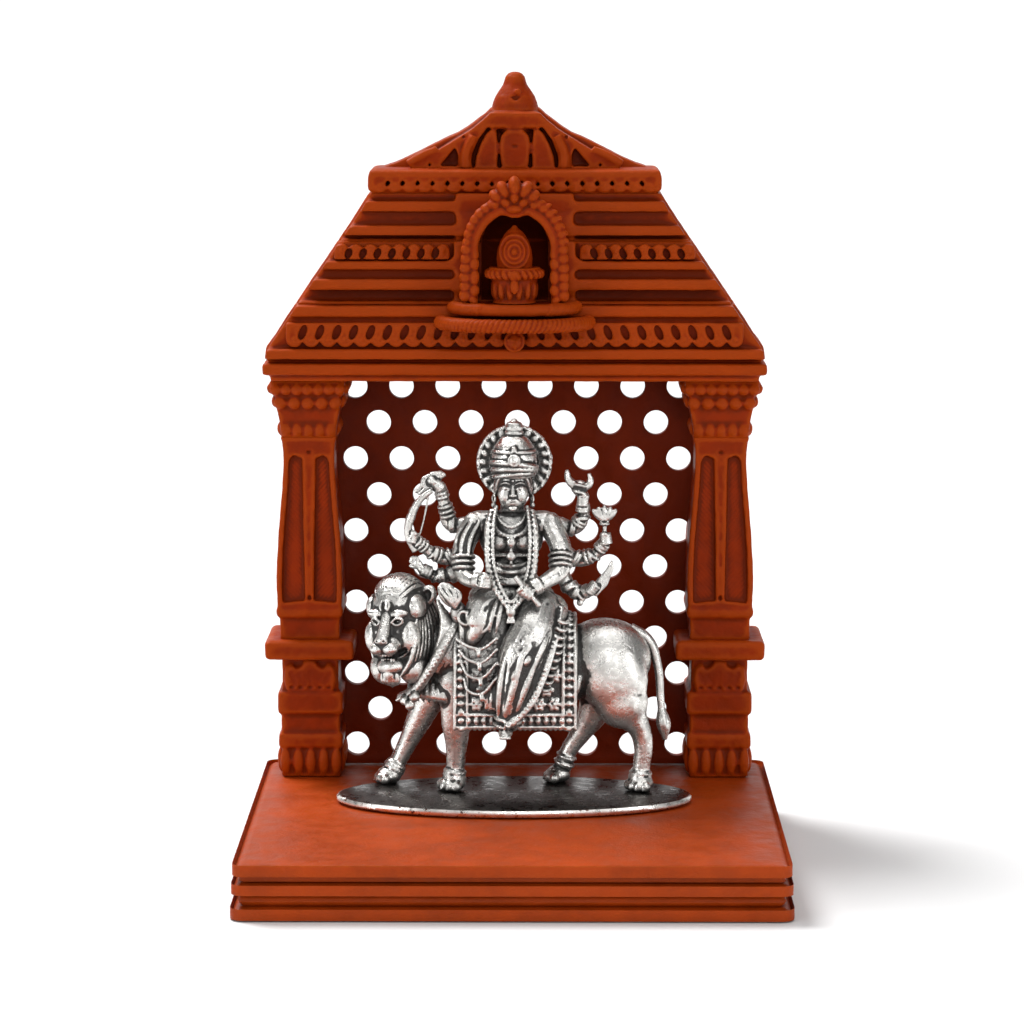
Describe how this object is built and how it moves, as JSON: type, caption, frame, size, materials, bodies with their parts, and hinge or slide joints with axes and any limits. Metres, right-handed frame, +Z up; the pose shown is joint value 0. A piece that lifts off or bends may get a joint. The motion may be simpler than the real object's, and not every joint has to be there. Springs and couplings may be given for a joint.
{
  "type": "temple shrine ornament with deity figurine",
  "caption": "Small moulded temple with pillars, stepped roof and perforated back panel, and a cast metal goddess-on-lion figurine standing on its plinth.",
  "frame": {"origin": "middle of the underside of the plinth", "axes": "+X to the right seen from the front, +Y towards the back panel, +Z up"},
  "size_m": [0.0936, 0.083, 0.1376],
  "materials": {
    "terracotta": "waxy satin terracotta-coloured moulded resin, slightly pitted",
    "panel_brown": "satin dark red-brown moulded sheet",
    "white_metal": "antique silver: polished on the high points, black in the recesses",
    "plate_metal": "tarnished dark top with a brighter worn rim"
  },
  "bodies": {
    "temple": {"base_plinth": "terracotta", "left_pillar_foot": "terracotta", "left_pillar_tray": "terracotta", "left_pillar_shaft": "terracotta", "left_pillar_capital": "terracotta", "right_pillar_foot": "terracotta", "right_pillar_tray": "terracotta", "right_pillar_shaft": "terracotta", "right_pillar_capital": "terracotta", "back_panel": "panel_brown", "lintel": "terracotta", "roof_lower_tier": "terracotta", "roof_middle_tier": "terracotta", "roof_upper_tier": "terracotta", "crest_slab": "terracotta", "crest": "terracotta", "finial": "terracotta", "lower_frieze": "terracotta", "middle_frieze_left": "terracotta", "middle_frieze_right": "terracotta", "crest_frieze": "terracotta", "roof_medallion": "terracotta", "niche_lower_shelf": "terracotta", "niche_upper_shelf": "terracotta", "niche_arch": "terracotta", "lingam_pedestal": "terracotta", "lingam": "terracotta"},
    "figurine": {"oval_plate": "plate_metal", "lion_body": "white_metal", "lion_head": "white_metal", "lion_tail": "white_metal", "saddle_cloth": "white_metal", "goddess_skirt": "white_metal", "goddess_torso": "white_metal", "goddess_head": "white_metal", "crown": "white_metal", "halo": "white_metal", "garland": "white_metal", "front_left_arm": "white_metal", "front_right_arm": "white_metal", "upper_left_arm_with_axe": "white_metal", "middle_left_arm_with_bow": "white_metal", "lower_left_arm": "white_metal", "upper_right_arm_with_conch": "white_metal", "middle_right_arm_with_lotus": "white_metal", "lower_right_arm_with_dagger": "white_metal"}
  },
  "joints": [
    {"name": "figurine_slide", "type": "slide", "parent": "temple", "child": "figurine", "axis": [0, -1, 0], "range_m": [0, 0.033]}
  ]
}
